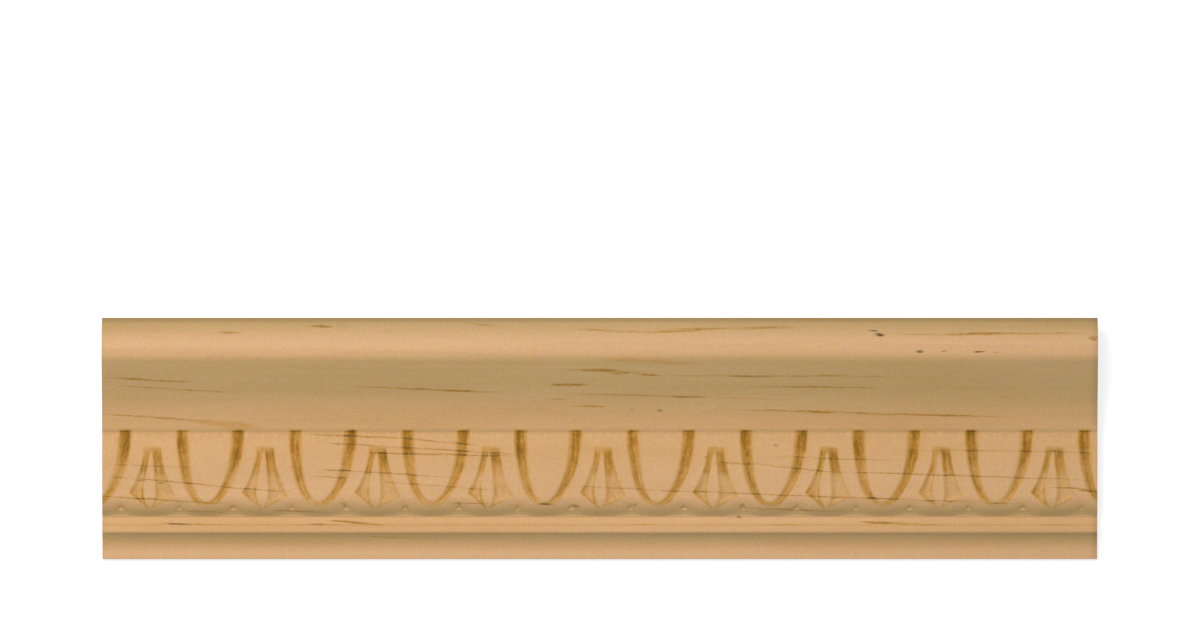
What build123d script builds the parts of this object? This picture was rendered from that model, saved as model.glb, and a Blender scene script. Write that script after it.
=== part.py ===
from build123d import *
from math import ceil, cos, radians, sin, tan
import os

# Pine crown moulding with an egg-and-dart band pressed into its face.
# The length lies along X, the width along Y, and the worked face looks up.
# The flat back lies on the ground plane, with the origin in the middle of it.

# Length of the piece, in millimetres like every size below
moulding_length = 340.0

# Widths of the members of the section, from the foot to the top edge
foot_flat_width = 1.9
foot_cove_width = 6.9
bead_width = 0.9
bead_flat_width = 2.05
fillet_width = 2.95
lip_width = 1.4
ovolo_width = 5.4
band_width = 22.3
cove_width = 14.0
fall_width = 9.7

# Heights of the members, stacked on the thickness of the foot
foot_thickness = 3.3
foot_cove_rise = 2.6
bead_rise = 0.4
bead_flat_fall = 0.08
fillet_fall = 0.39
step_height = 0.6

# Slopes and radii of the ovolo with its straight lip, the cove, the straight fall, the crest and the roll
ovolo_angle = 37.5
cove_end_angle = 10.0
fall_angle = 25.0
crest_radius = 8.0
roll_radius = 14.5
roll_edge_angle = 53.5

# Bevels of the back, which stand square to each other and meet wall and ceiling
wall_bevel_angle = 38.0
wall_bevel_height = 2.3
ceiling_bevel_angle = 90.0 - wall_bevel_angle
ceiling_bevel_height = 9.0

# Spacing of the pattern, and how far the first egg stands outside the sawn end
pattern_pitch = 38.5
first_egg_overhang = 1.6

# Egg: half of an ellipse that hangs from the step, with a groove around it
egg_half_width = 7.7
egg_lean = 3.5
groove_side_width = 3.9
groove_tip_width = 2.0
groove_tip_overhang = 3.9
groove_depth = 1.1
groove_wall_run = 0.7
groove_floor_width = 1.0

# Dart: two pockets with a leaf standing between them
dart_drop = 5.6
dart_overhang = 4.1
left_shoulder_width = 7.2
right_shoulder_width = 7.9
left_shoulder_height = 4.9
right_shoulder_height = 4.4
dart_lean = 3.0
pocket_top_width = 2.4
pocket_depth = 0.8
pocket_wall_angle = 30.0
pocket_side_hollow = 1.0
leaf_top_half_width = 0.5
leaf_swell_half_width = 2.0
leaf_swell_height = 7.6
leaf_foot_half_width = 0.5

# Pointed nicks that the die leaves in the ovolo between eggs and darts, a large and a small one
nick_overhang = 2.4
nick_depth = 1.15
nick_reach = 3.2
nick_width = 5.6
small_nick_width = 3.8
nick_beyond_egg = 7.9
small_nick_before_egg = 10.5

# Positions across the section, counted from the foot
crest_width = crest_radius * sin(radians(fall_angle))
roll_width = roll_radius * sin(radians(roll_edge_angle))
bead_member_width = bead_width + bead_flat_width + fillet_width
ovolo_member_width = lip_width + ovolo_width
lower_width = foot_flat_width + foot_cove_width + bead_member_width + ovolo_member_width
upper_width = cove_width + fall_width + crest_width + roll_width
face_width = lower_width + band_width + upper_width

foot_y = -face_width / 2
foot_cove_y = foot_y + foot_flat_width
bead_y = foot_cove_y + foot_cove_width
bead_top_y = bead_y + bead_width
arris_y = bead_top_y + bead_flat_width
valley_y = arris_y + fillet_width
lip_y = valley_y + lip_width
band_y = lip_y + ovolo_width
step_y = band_y + band_width
fall_y = step_y + cove_width
roll_y = fall_y + fall_width
crest_y = roll_y + crest_width
top_y = crest_y + roll_width

# Heights of the same places above the back
bead_z = foot_thickness + foot_cove_rise
bead_top_z = bead_z + bead_rise
arris_z = bead_top_z - bead_flat_fall
valley_z = arris_z - fillet_fall
lip_z = valley_z + lip_width * tan(radians(ovolo_angle))
band_z = lip_z + ovolo_width * tan(radians(ovolo_angle / 2))
cove_z = band_z + step_height
fall_z = cove_z + cove_width * tan(radians((cove_end_angle + fall_angle) / 2))
roll_z = fall_z + fall_width * tan(radians(fall_angle))
crest_z = roll_z + crest_radius * (1 - cos(radians(fall_angle)))
top_z = crest_z - roll_radius * (1 - cos(radians(roll_edge_angle)))

wall_bevel_run = wall_bevel_height / tan(radians(wall_bevel_angle))
ceiling_bevel_run = ceiling_bevel_height / tan(radians(ceiling_bevel_angle))

# Directions in the section in which the tangent arcs set out
towards_top = (1, 0)
towards_foot = (-1, 0)
down_the_fall = (-cos(radians(fall_angle)), -sin(radians(fall_angle)))

# Groove around one egg, hung from the step: an outer well less the egg's flanks
well_half_width = egg_half_width + groove_side_width
well_height = band_width + groove_tip_overhang
egg_height = well_height - groove_tip_width
flank_half_width = well_half_width - groove_wall_run - groove_floor_width
flank_height = well_height - groove_wall_run - groove_floor_width

with BuildPart() as egg_form:
    with BuildSketch():
        Ellipse(egg_half_width, egg_height, rotation=-egg_lean)
    with BuildSketch(Plane.XY.offset(-groove_depth)):
        Ellipse(flank_half_width, flank_height, rotation=-egg_lean)
    loft(ruled=True)

with BuildPart() as egg_groove:
    with BuildSketch():
        Ellipse(well_half_width, well_height, rotation=-egg_lean)
    with BuildSketch(Plane.XY.offset(-groove_depth)):
        Ellipse(
            well_half_width - groove_wall_run,
            well_height - groove_wall_run,
            rotation=-egg_lean,
        )
    loft(ruled=True)
    add(egg_form.part, mode=Mode.SUBTRACT)
    split(bisect_by=Plane.XZ, keep=Keep.TOP)

# One dart: a pocket on each side of the leaf, the left one (side -1) narrower at its shoulder
dart_foot_y = -band_width - dart_overhang
pocket_sides = (
    (-1, left_shoulder_width, left_shoulder_height),
    (1, right_shoulder_width, right_shoulder_height),
)

with BuildPart() as dart_pockets:
    for side, shoulder_width, shoulder_height in pocket_sides:
        leaf_top = (side * leaf_top_half_width, -dart_drop)
        leaf_swell = (side * leaf_swell_half_width, dart_foot_y + leaf_swell_height)
        leaf_foot = (side * leaf_foot_half_width, dart_foot_y)
        leaf_direction = (leaf_swell[0] - leaf_top[0], leaf_swell[1] - leaf_top[1])
        pocket_top = (leaf_top[0] + side * pocket_top_width, -dart_drop)
        pocket_shoulder = (side * shoulder_width, dart_foot_y + shoulder_height)
        pocket_side_middle = (
            (pocket_top[0] + pocket_shoulder[0]) / 2 - side * pocket_side_hollow,
            (pocket_top[1] + pocket_shoulder[1]) / 2,
        )
        with BuildSketch():
            with BuildLine():
                Line(leaf_top, pocket_top)
                ThreePointArc(pocket_top, pocket_side_middle, pocket_shoulder)
                Line(pocket_shoulder, leaf_foot)
                TangentArc(leaf_swell, leaf_foot, tangent=leaf_direction)
                Line(leaf_swell, leaf_top)
            make_face()
        extrude(amount=-pocket_depth, taper=pocket_wall_angle)

# One nick of each size: a triangle with its point towards the band
with BuildPart() as nick:
    with BuildSketch():
        Polygon((0, 0), (-nick_width / 2, -nick_reach), (nick_width / 2, -nick_reach), align=None)
    extrude(amount=-nick_depth)

with BuildPart() as small_nick:
    with BuildSketch():
        Polygon(
            (0, 0),
            (-small_nick_width / 2, -nick_reach),
            (small_nick_width / 2, -nick_reach),
            align=None,
        )
    extrude(amount=-nick_depth)

# Places of the pattern along the piece
first_egg_x = -moulding_length / 2 - first_egg_overhang
pattern_length = moulding_length + first_egg_overhang + well_half_width
pattern_count = ceil(pattern_length / pattern_pitch)
egg_places = [(first_egg_x + i * pattern_pitch, step_y, band_z) for i in range(pattern_count)]
dart_places = [(x + pattern_pitch / 2, y, z) for x, y, z in egg_places]

# A large nick follows each egg, and a small one goes before every egg but the first
nick_y = band_y - nick_overhang
nick_places = [(x + nick_beyond_egg, nick_y, z) for x, y, z in egg_places]
small_nick_places = [(x - small_nick_before_egg, nick_y, z) for x, y, z in egg_places[1:]]

with BuildPart() as embossed_moulding:
    with BuildSketch(Plane.YZ) as section:
        with BuildLine():
            Line((foot_y, wall_bevel_height), (foot_y, foot_thickness))
            Line((foot_y, foot_thickness), (foot_cove_y, foot_thickness))
            TangentArc((foot_cove_y, foot_thickness), (bead_y, bead_z), tangent=towards_top)
            TangentArc((bead_top_y, bead_top_z), (bead_y, bead_z), tangent=towards_foot)
            Line((bead_top_y, bead_top_z), (arris_y, arris_z))
            Line((arris_y, arris_z), (valley_y, valley_z))
            Line((valley_y, valley_z), (lip_y, lip_z))
            TangentArc((band_y, band_z), (lip_y, lip_z), tangent=towards_foot)
            Line((band_y, band_z), (step_y, band_z))
            Line((step_y, band_z), (step_y, cove_z))
            TangentArc((fall_y, fall_z), (step_y, cove_z), tangent=down_the_fall)
            Line((fall_y, fall_z), (roll_y, roll_z))
            TangentArc((crest_y, crest_z), (roll_y, roll_z), tangent=towards_foot)
            TangentArc((crest_y, crest_z), (top_y, top_z), tangent=towards_top)
            Line((top_y, top_z), (top_y, ceiling_bevel_height))
            Line((top_y, ceiling_bevel_height), (top_y - ceiling_bevel_run, 0))
            Line((top_y - ceiling_bevel_run, 0), (foot_y + wall_bevel_run, 0))
            Line((foot_y + wall_bevel_run, 0), (foot_y, wall_bevel_height))
        make_face()
    extrude(amount=moulding_length / 2, both=True)
    with Locations(*egg_places):
        add(egg_groove.part, mode=Mode.SUBTRACT)
    with Locations(*dart_places):
        add(dart_pockets.part, rotation=(0, 0, -dart_lean), mode=Mode.SUBTRACT)
    with Locations(*nick_places):
        add(nick.part, mode=Mode.SUBTRACT)
    with Locations(*small_nick_places):
        add(small_nick.part, mode=Mode.SUBTRACT)

os.makedirs("parts", exist_ok=True)
embossed_moulding.part.label = "embossed_moulding"
export_step(embossed_moulding.part, "parts/embossed_moulding.step")
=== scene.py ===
import math

import bpy
import numpy as np
from bpy.props import FloatProperty, FloatVectorProperty, IntProperty, PointerProperty
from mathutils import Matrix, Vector


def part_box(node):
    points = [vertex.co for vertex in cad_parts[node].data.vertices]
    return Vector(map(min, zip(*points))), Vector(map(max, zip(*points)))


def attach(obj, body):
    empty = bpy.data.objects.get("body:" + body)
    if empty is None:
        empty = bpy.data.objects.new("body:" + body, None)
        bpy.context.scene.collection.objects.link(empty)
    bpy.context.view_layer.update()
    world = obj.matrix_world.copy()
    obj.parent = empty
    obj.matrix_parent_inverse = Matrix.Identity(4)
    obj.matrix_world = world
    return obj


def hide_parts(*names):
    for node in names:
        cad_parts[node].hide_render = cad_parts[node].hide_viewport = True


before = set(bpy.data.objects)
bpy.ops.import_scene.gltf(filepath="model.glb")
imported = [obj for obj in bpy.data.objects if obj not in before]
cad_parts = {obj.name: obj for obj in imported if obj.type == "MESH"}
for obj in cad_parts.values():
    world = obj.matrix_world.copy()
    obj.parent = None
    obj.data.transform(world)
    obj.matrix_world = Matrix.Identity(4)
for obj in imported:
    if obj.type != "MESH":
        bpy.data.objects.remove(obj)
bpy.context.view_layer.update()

bl_info = {
    "name": "Embossed Moulding",
    "version": (1, 0, 0),
    "blender": (4, 5, 0),
    "location": "3D View > Sidebar > Moulding",
    "description": "A length of pine crown moulding with an egg-and-dart band pressed into its face",
    "category": "Object",
}

NODE = "embossed_moulding"
MM = 0.001
WHITE = (1.0, 1.0, 1.0, 1.0)


# Properties

def length(name, millimetres, description):
    """One size of the moulding, written in millimetres and held in metres."""
    return FloatProperty(
        name=name, description=description, default=millimetres * MM, unit="LENGTH", precision=5
    )


def angle(name, degrees, description):
    """One angle of the moulding, written in degrees and held in radians."""
    return FloatProperty(
        name=name, description=description, default=math.radians(degrees), subtype="ANGLE"
    )


def colour(name, rgb, description):
    """One linear colour of the wood or the stage."""
    return FloatVectorProperty(
        name=name, description=description, default=rgb, subtype="COLOR", min=0.0, max=1.0
    )


class SectionSizes(bpy.types.PropertyGroup):
    """Members of the section, from the foot to the top edge."""

    foot_flat: length("Foot flat", 1.9, "Width of the flat at the foot")
    foot_cove: length("Foot cove", 6.9, "Width of the cove above the foot")
    bead: length("Bead", 0.9, "Width of the rounded nose of the bead")
    bead_flat: length("Bead flat", 2.05, "Width of the flat on top of the bead")
    fillet: length("Fillet", 2.67, "Width of the slope between bead and ovolo")
    lip: length("Lip", 1.68, "Width of the straight lip at the foot of the ovolo")
    ovolo: length("Ovolo", 5.4, "Width of the ovolo under the band")
    band: length("Band", 22.3, "Width of the flat band that carries the pattern")
    cove: length("Cove", 14.0, "Width of the long cove above the band")
    fall: length("Fall", 9.7, "Width of the straight slope between cove and crest")
    foot_thickness: length("Foot thickness", 3.3, "Thickness of the wood at the foot")
    foot_cove_rise: length("Foot cove rise", 2.6, "Height gained by the foot cove")
    bead_rise: length("Bead rise", 0.4, "Height gained by the nose of the bead")
    bead_flat_fall: length("Bead flat fall", 0.08, "Height lost over the flat of the bead")
    fillet_fall: length("Fillet fall", 0.54, "Height lost from the arris to the valley")
    step: length("Step", 0.6, "Height of the step above the band")
    ovolo_angle: angle("Ovolo angle", 37.5, "Slope of the lip, where the ovolo starts")
    cove_end: angle("Cove end", 10.0, "Slope of the cove where it meets the step")
    fall_angle: angle("Fall angle", 25.0, "Slope of the straight fall")
    crest_radius: length("Crest radius", 8.0, "Radius between the fall and the crest")
    roll_radius: length("Roll radius", 14.5, "Radius of the roll along the top edge")
    roll_edge: angle("Roll edge", 53.5, "Slope of the roll where it meets the top edge")
    wall_bevel: angle("Wall bevel", 38.0, "Slope of the bevel that lies on the wall")
    wall_bevel_height: length("Wall bevel height", 2.3, "Height of the wall bevel")
    ceiling_bevel_height: length("Ceiling bevel height", 9.0, "Height of the ceiling bevel")
    easing: length("Easing", 0.16, "How far each sharp edge is eased")
    valley_easing: length("Valley easing", 0.50, "How far the valley under the ovolo is eased")
    step_run: length("Step run", 1.30, "Width over which the pressed step slopes")
    step_easing: length("Step easing", 0.80, "How far both edges of the step are eased")
    top_easing: length("Top easing", 2.20, "How far the top edge is eased into the roll")
    end_easing: length("End easing", 0.12, "How far the edges of the sawn ends are eased")


class PatternSizes(bpy.types.PropertyGroup):
    """The egg-and-dart pattern that the die pressed."""

    pitch: length("Pitch", 38.5, "Distance from one egg to the next")
    overhang: length("Overhang", 1.6, "How far the first egg stands outside the sawn end")
    egg_half_width: length("Egg half width", 7.7, "Half the width of an egg at the step")
    egg_lean: angle("Egg lean", 3.5, "Lean of the eggs towards the left at their tips")
    egg_sway: length("Egg sway", 0.40, "How far the middle of an egg bulges to the right")
    egg_round: length("Egg rounding", 0.16, "How far an egg rounds down at its rim")
    egg_round_width: length("Egg rounding width", 3.2, "Width over which an egg rounds down")
    groove_side: length("Groove side", 3.9, "Width of the groove beside an egg")
    groove_tip: length("Groove tip", 2.0, "Width of the groove under an egg")
    groove_overhang: length("Groove overhang", 3.9, "Reach of the groove below the band")
    groove_depth: length("Groove depth", 0.52, "Depth of the groove")
    groove_fade: length("Groove fade", 0.15, "How much shallower the groove is under the tip")
    groove_wall: length("Groove wall", 2.4, "Run of the outer wall of the groove")
    dart_drop: length("Dart drop", 5.6, "Distance from the step to the top of a dart")
    dart_overhang: length("Dart overhang", 4.1, "Reach of a dart below the band")
    left_width: length("Left shoulder", 7.2, "Distance of a dart's left shoulder from its middle")
    right_width: length("Right shoulder", 8.5, "Distance of its right shoulder from its middle")
    left_height: length("Left shoulder height", 4.9, "Height of the left shoulder above the dart's foot")
    right_height: length("Right shoulder height", 4.4, "Height of the right shoulder above it")
    dart_lean: angle("Dart lean", 3.0, "Lean of the darts")
    pocket_top: length("Pocket top", 2.9, "Distance of a pocket's outer corner from the middle")
    pocket_depth: length("Pocket depth", 0.40, "Depth of the pockets")
    pocket_wall: length("Pocket wall", 1.7, "Run of the walls of the pockets")
    pocket_hollow: length("Pocket hollow", 1.0, "Hollow of the outer side of a pocket")
    leaf_shift: length("Leaf shift", 0.45, "How far the leaf stands to the left of the dart's middle")
    leaf_top: length("Leaf top", 0.06, "Half the width of the leaf at its top")
    leaf_swell: length("Leaf swell", 2.0, "Half the width of the leaf at its fullest")
    leaf_swell_height: length("Leaf swell height", 7.6, "Height of the swell above the foot")
    leaf_foot: length("Leaf foot", 0.5, "Half the width of the leaf at its foot")
    nick_overhang: length("Nick overhang", 2.9, "Distance of the nicks' points below the band")
    nick_depth: length("Nick depth", 1.95, "Depth of the nicks")
    nick_reach: length("Nick reach", 3.2, "Length of the nicks")
    nick_width: length("Nick width", 7.2, "Width of the large nicks at their base")
    small_nick_width: length("Small nick width", 5.0, "Width of the small nicks at their base")
    nick_beyond_egg: length("Nick beyond egg", 7.9, "Distance of a large nick beyond the egg before it")
    nick_before_egg: length("Nick before egg", 10.5, "Distance of a small nick before the egg after it")
    nick_wall: length("Nick wall", 0.50, "Run of the sides of a nick")
    nick_hollow: length("Nick hollow", 0.6, "How far the ovolo sinks around a nick")
    swelling: length("Swelling", 0.06, "How far the wood swells up beside a pressed edge")


class PineColours(bpy.types.PropertyGroup):
    """Colours of the sanded pine and of the marks in it."""

    pale: colour("Pale wood", (0.690, 0.408, 0.195), "Palest tone of the sanded face")
    warm: colour("Warm wood", (0.631, 0.359, 0.150), "Warmest tone of the sanded face")
    # Painted shade on slopes: they are made darker and greener the steeper they are
    slope_shade_tint: colour("Burnished slope", (0.80, 0.895, 0.87), "Tint of the slopes that the cutter burnished")
    ring: colour("Ring", (0.430, 0.225, 0.075), "Late wood of the growth rings")
    streak: colour("Streak", (0.335, 0.165, 0.035), "Resin streaks along the grain")
    dash: colour("Dash", (0.110, 0.068, 0.020), "Near black dashes in the streaks")
    golden: colour("Golden", (0.610, 0.316, 0.072), "Wood that the hot die only turned golden")
    brown: colour("Browned", (0.375, 0.162, 0.011), "Wood browned by the hot die")
    # Scorch of the die, and painted shade right under the step and along the nicks' upper edges
    scorch_and_shade: colour("Scorched", (0.135, 0.080, 0.018), "Darkest wood in the grooves")
    # Painted highlight on the roll, and a paler tone of the foot and the lower band
    highlight_and_pale: colour("Bleached", (0.690, 0.420, 0.222), "Paler wood along the roll and the foot")
    # Painted shade: the fall, which slopes away from the lamp, is made darker and greener
    shaded: colour("Shaded", (0.925, 0.972, 0.975), "Tint of the fall, which is greener than the rest")
    # Painted shade along the top edge, where the roll turns away from the lamp
    painted_edge_shade: colour("Soiled", (0.80, 0.79, 0.78), "Tint of the handled top edge")
    roughness: FloatProperty(name="Roughness", description="Roughness of the face", default=0.58)
    gloss: FloatProperty(name="Gloss", description="Specular level of the face", default=0.12)


class StageSetup(bpy.types.PropertyGroup):
    """Camera, lamp, fill and floor."""

    camera_height: FloatProperty(
        name="Camera height", description="Height of the camera", default=8.0, unit="LENGTH"
    )
    photo_width: IntProperty(
        name="Picture width", description="Width of the picture in pixels", default=1200
    )
    left_end_px: FloatProperty(
        name="Left end", description="Where the left end lies across the picture", default=102.0
    )
    right_end_px: FloatProperty(
        name="Right end", description="Where the right end lies across the picture", default=1097.5
    )
    middle_below_px: FloatProperty(
        name="Middle", description="How far the piece lies below the picture's middle", default=123.5
    )
    key_power: FloatProperty(name="Key", description="Power of the key lamp in watts", default=22.0)
    key_size: length("Key size", 700.0, "Side of the key lamp")
    key_distance: length("Key distance", 1500.0, "Distance of the key lamp")
    key_tilt: angle("Key tilt", 18.0, "Tilt of the key lamp towards the top edge")
    key_swing: angle("Key swing", 14.0, "Tilt of the key lamp towards the left end")
    key_colour: colour("Key colour", (1.0, 0.90, 0.87), "Colour of the key lamp")
    fill_colour: colour("Fill colour", (0.50, 0.95, 1.0), "Colour of the light from all round")
    fill_strength: FloatProperty(name="Fill", description="Strength of the fill", default=0.20)
    floor_width: length("Floor width", 8000.0, "Side of the floor")
    floor_colour: colour("Floor", (0.52, 0.52, 0.52), "Colour of the floor")
    floor_glow: FloatProperty(
        name="Floor glow", description="Brightness that the camera sees on top", default=0.79
    )


# Curves in the plane

def line(start, end, count):
    """Points at even steps from start to end, without the start."""
    steps = np.linspace(0.0, 1.0, count + 1)[1:, None]
    return np.asarray(start) + steps * (np.asarray(end) - np.asarray(start))


def tangent_arc(start, heading, end, count):
    """Points of the circle that leaves start along heading and passes through end, without the start.

    The radius is the chord squared over twice the chord's part across the heading.
    """
    start = np.asarray(start, float)
    heading = np.asarray(heading, float) / np.hypot(*heading)
    across = np.array([-heading[1], heading[0]])
    chord = np.asarray(end, float) - start
    radius = chord @ chord / (2.0 * (chord @ across))
    turn = 2.0 * math.atan2(chord @ across, chord @ heading)
    turns = np.linspace(0.0, turn, count + 1)[1:, None]
    return start + radius * (np.sin(turns) * heading + (1.0 - np.cos(turns)) * across)


def arc_back(start, heading, end, count):
    """Points of the same circle run home, from near end to start, without the end."""
    return np.vstack([tangent_arc(start, heading, end, count)[-2::-1], [start]])


def three_point_arc(start, middle, end, count):
    """Points of the circle through three points, without the start.

    The heading at the start is the chord to the end, turned back by the angle at the middle.
    """
    start, middle, end = (np.asarray(p, float) for p in (start, middle, end))
    chord = end - start
    to_middle = middle - start
    beyond = end - middle
    turned = math.atan2(
        to_middle[0] * beyond[1] - to_middle[1] * beyond[0], to_middle @ beyond
    )
    heading = np.array([
        chord[0] * math.cos(turned) + chord[1] * math.sin(turned),
        chord[1] * math.cos(turned) - chord[0] * math.sin(turned),
    ])
    return tangent_arc(start, heading, end, count)


def smooth(low, high, value):
    """Runs from 0 at low to 1 at high, level at both ends: 3 t squared less 2 t cubed."""
    t = np.clip((value - low) / (high - low), 0.0, 1.0)
    return t * t * (3.0 - 2.0 * t)


def bell(value, middle, width):
    """A bell that is 1 at the middle and falls off over the width."""
    return np.exp(-(((value - middle) / width) ** 2))


# The section

def section_levels(sizes, low, high):
    """Positions across the section, counted from the foot, and heights above the back."""
    y, z = {}, {}
    y["foot"] = low.y
    y["foot_cove"] = y["foot"] + sizes.foot_flat
    y["bead"] = y["foot_cove"] + sizes.foot_cove
    y["bead_top"] = y["bead"] + sizes.bead
    y["arris"] = y["bead_top"] + sizes.bead_flat
    y["valley"] = y["arris"] + sizes.fillet
    y["lip"] = y["valley"] + sizes.lip
    y["band"] = y["lip"] + sizes.ovolo
    y["step"] = y["band"] + sizes.band
    y["fall"] = y["step"] + sizes.cove
    y["roll"] = y["fall"] + sizes.fall
    y["crest"] = y["roll"] + sizes.crest_radius * math.sin(sizes.fall_angle)
    y["top"] = high.y
    z["foot"] = low.z + sizes.foot_thickness
    z["bead"] = z["foot"] + sizes.foot_cove_rise
    z["bead_top"] = z["bead"] + sizes.bead_rise
    z["arris"] = z["bead_top"] - sizes.bead_flat_fall
    z["valley"] = z["arris"] - sizes.fillet_fall
    z["lip"] = z["valley"] + sizes.lip * math.tan(sizes.ovolo_angle)
    z["band"] = z["lip"] + sizes.ovolo * math.tan(sizes.ovolo_angle / 2)
    z["step"] = z["band"] + sizes.step
    z["fall"] = z["step"] + sizes.cove * math.tan((sizes.cove_end + sizes.fall_angle) / 2)
    z["roll"] = z["fall"] + sizes.fall * math.tan(sizes.fall_angle)
    z["crest"] = z["roll"] + sizes.crest_radius * (1 - math.cos(sizes.fall_angle))
    z["top"] = z["crest"] - sizes.roll_radius * (1 - math.cos(sizes.roll_edge))
    z["back"] = low.z
    return y, z


def section_ring(sizes, y, z):
    """The closed outline of the section, with its sharp corners eased.

    It sets out in the middle of the back and runs round the foot, over the face to the top edge
    and home along the back. The second array says which points belong to the finely divided
    stretch from the valley to the step.
    """
    towards_top, towards_foot = (1.0, 0.0), (-1.0, 0.0)
    down_the_fall = (-math.cos(sizes.fall_angle), -math.sin(sizes.fall_angle))
    at = {name: (y[name], z[name]) for name in z if name in y}
    step_foot = (y["step"] - sizes.step_run / 2, z["band"])
    step_top = (y["step"] + sizes.step_run / 2, z["step"])
    back_middle = ((y["foot"] + y["top"]) / 2, z["back"])
    wall_edge = (y["foot"] + sizes.wall_bevel_height / math.tan(sizes.wall_bevel), z["back"])
    foot_edge = (y["foot"], z["back"] + sizes.wall_bevel_height)
    top_edge = (y["top"], z["back"] + sizes.ceiling_bevel_height)
    ceiling_edge = (y["top"] - sizes.ceiling_bevel_height * math.tan(sizes.wall_bevel), z["back"])

    members = [
        (False, line(back_middle, wall_edge, 4)),
        (False, line(wall_edge, foot_edge, 1)),
        (False, line(foot_edge, at["foot"], 1)),
        (False, line(at["foot"], (y["foot_cove"], z["foot"]), 2)),
        (False, tangent_arc((y["foot_cove"], z["foot"]), towards_top, at["bead"], 9)),
        (False, arc_back(at["bead_top"], towards_foot, at["bead"], 5)),
        (False, line(at["bead_top"], at["arris"], 2)),
        (False, line(at["arris"], at["valley"], 2)),
        (True, line(at["valley"], at["lip"], 4)),
        (True, arc_back(at["band"], towards_foot, at["lip"], 16)),
        (True, line(at["band"], step_foot, 52)),
        (True, line(step_foot, step_top, 4)),
        (False, arc_back(at["fall"], down_the_fall, step_top, 9)),
        (False, line(at["fall"], at["roll"], 3)),
        (False, arc_back(at["crest"], towards_foot, at["roll"], 6)),
        (False, tangent_arc(at["crest"], towards_top, at["top"], 14)),
        (False, line(at["top"], top_edge, 2)),
        (False, line(top_edge, ceiling_edge, 2)),
        (False, line(ceiling_edge, back_middle, 4)),
    ]
    ring = np.vstack([points for _, points in members])
    fine = np.concatenate([np.full(len(points), flag) for flag, points in members])
    reach = np.full((len(ring), 2), sizes.easing)
    own_easings = (
        (at["valley"], sizes.valley_easing, sizes.valley_easing),
        (step_foot, sizes.step_easing, 0.4 * sizes.step_run),
        (step_top, 0.4 * sizes.step_run, sizes.step_easing),
        (at["top"], sizes.top_easing, 0.3 * sizes.top_easing),
    )
    for corner, before, beyond in own_easings:
        reach[np.hypot(*(ring - corner).T).argmin()] = before, beyond
    return ease_corners(ring, fine, reach)


# A corner that turns by more than this is sharp, and this many points ease it
SHARP_TURN = math.radians(12.0)
EASING_POINTS = 5


def ease_corners(ring, fine, reach):
    """Replaces each sharp corner with the points of a small curve.

    The curve is a parabola. It leaves the outline the first reach before the corner and joins it
    again the second reach beyond it, both measured along the outline. Points of the outline in
    between, or closer to either end than a small clearance, make way for it.
    """
    clearance = 0.02 * MM
    after = np.roll(ring, -1, axis=0) - ring
    before = np.roll(after, 1, axis=0)
    cross = before[:, 0] * after[:, 1] - before[:, 1] * after[:, 0]
    turned = np.abs(np.arctan2(cross, (before * after).sum(axis=1)))
    along = np.cumsum(np.hypot(*before.T))
    kept = np.ones(len(ring), bool)
    points, places, flags = [], [], []
    for corner in np.flatnonzero(turned > SHARP_TURN):
        start, end = along[corner] - reach[corner, 0], along[corner] + reach[corner, 1]
        kept &= (along < start - clearance) | (along > end + clearance)
        entry = np.array([np.interp(start, along, ring[:, axis]) for axis in (0, 1)])
        leave = np.array([np.interp(end, along, ring[:, axis]) for axis in (0, 1)])
        t = np.linspace(0.0, 1.0, EASING_POINTS)[:, None]
        points.append((1 - t) ** 2 * entry + 2 * t * (1 - t) * ring[corner] + t ** 2 * leave)
        places.append(np.linspace(start, end, EASING_POINTS))
        flags.append(np.full(EASING_POINTS, fine[corner]))
    points = np.vstack([ring[kept], *points])
    order = np.argsort(np.concatenate([along[kept], *places]))
    return points[order], np.concatenate([fine[kept], *flags])[order]


def painted_shade_of_slope(y, z):
    """How far each point of the ring is darkened and greened as painted shade, which grows with the
    face's slope.
    """
    rise = np.roll(z, -1) - np.roll(z, 1)
    run = np.roll(y, -1) - np.roll(y, 1)
    return smooth(math.radians(6.0), math.radians(46.0), np.abs(np.arctan2(rise, run)))


# The pattern

def nearest(x, first, pitch):
    """Distance of x from the nearest of the places first, first + pitch, first + 2 pitch and so on."""
    return x - first - np.round((x - first) / pitch) * pitch


def lean_back(x, y, lean):
    """Turns a leaning copy upright about its top."""
    return x * math.cos(lean) - y * math.sin(lean), x * math.sin(lean) + y * math.cos(lean)


def ellipse_reach(across, down, half_width, height):
    """How far the ellipse reaches from its middle in the direction of each point."""
    not_nothing = 1e-6 * MM
    far = np.maximum(np.hypot(across, down), not_nothing)
    return far / np.hypot(across / half_width, down / height)


def egg_press(sizes, band_width, x, y):
    """Depth of the die around the eggs, and the place of each point in the groove.

    Along each ray from the middle of an egg the depth grows softly from the rim to the floor and
    shrinks again over the outer wall. Rim and outer edge are ellipses that sway to the right
    halfway down, and the floor rises a little under the tip. Returned are the depth, the
    distances inside the rim and beyond the outer edge, the share of the way between them, and
    the distance down along the egg.
    """
    well_width = sizes.egg_half_width + sizes.groove_side
    well_height = band_width + sizes.groove_overhang
    across, down = lean_back(x, y, sizes.egg_lean)
    across = across - sizes.egg_sway * bell(down, -11.0 * MM, 9.0 * MM)
    far = np.hypot(across, down)
    rim = ellipse_reach(across, down, sizes.egg_half_width, well_height - sizes.groove_tip)
    edge = ellipse_reach(across, down, well_width, well_height)
    place = (far - rim) / (edge - rim)
    wall = np.minimum(sizes.groove_wall / (edge - rim), 0.75)
    floor = sizes.groove_depth - sizes.groove_fade * smooth(0.45, 1.0, -down / well_height)
    rounding = sizes.egg_round * np.clip((far - rim) / sizes.egg_round_width + 1.0, 0.0, 1.0) ** 2
    flank = rounding + (floor - rounding) * smooth(-0.15, 0.60, place)
    depth = np.minimum(flank, floor) * smooth(1.05, 1.05 - wall, place)
    return depth, rim - far, far - edge, place, down


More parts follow.
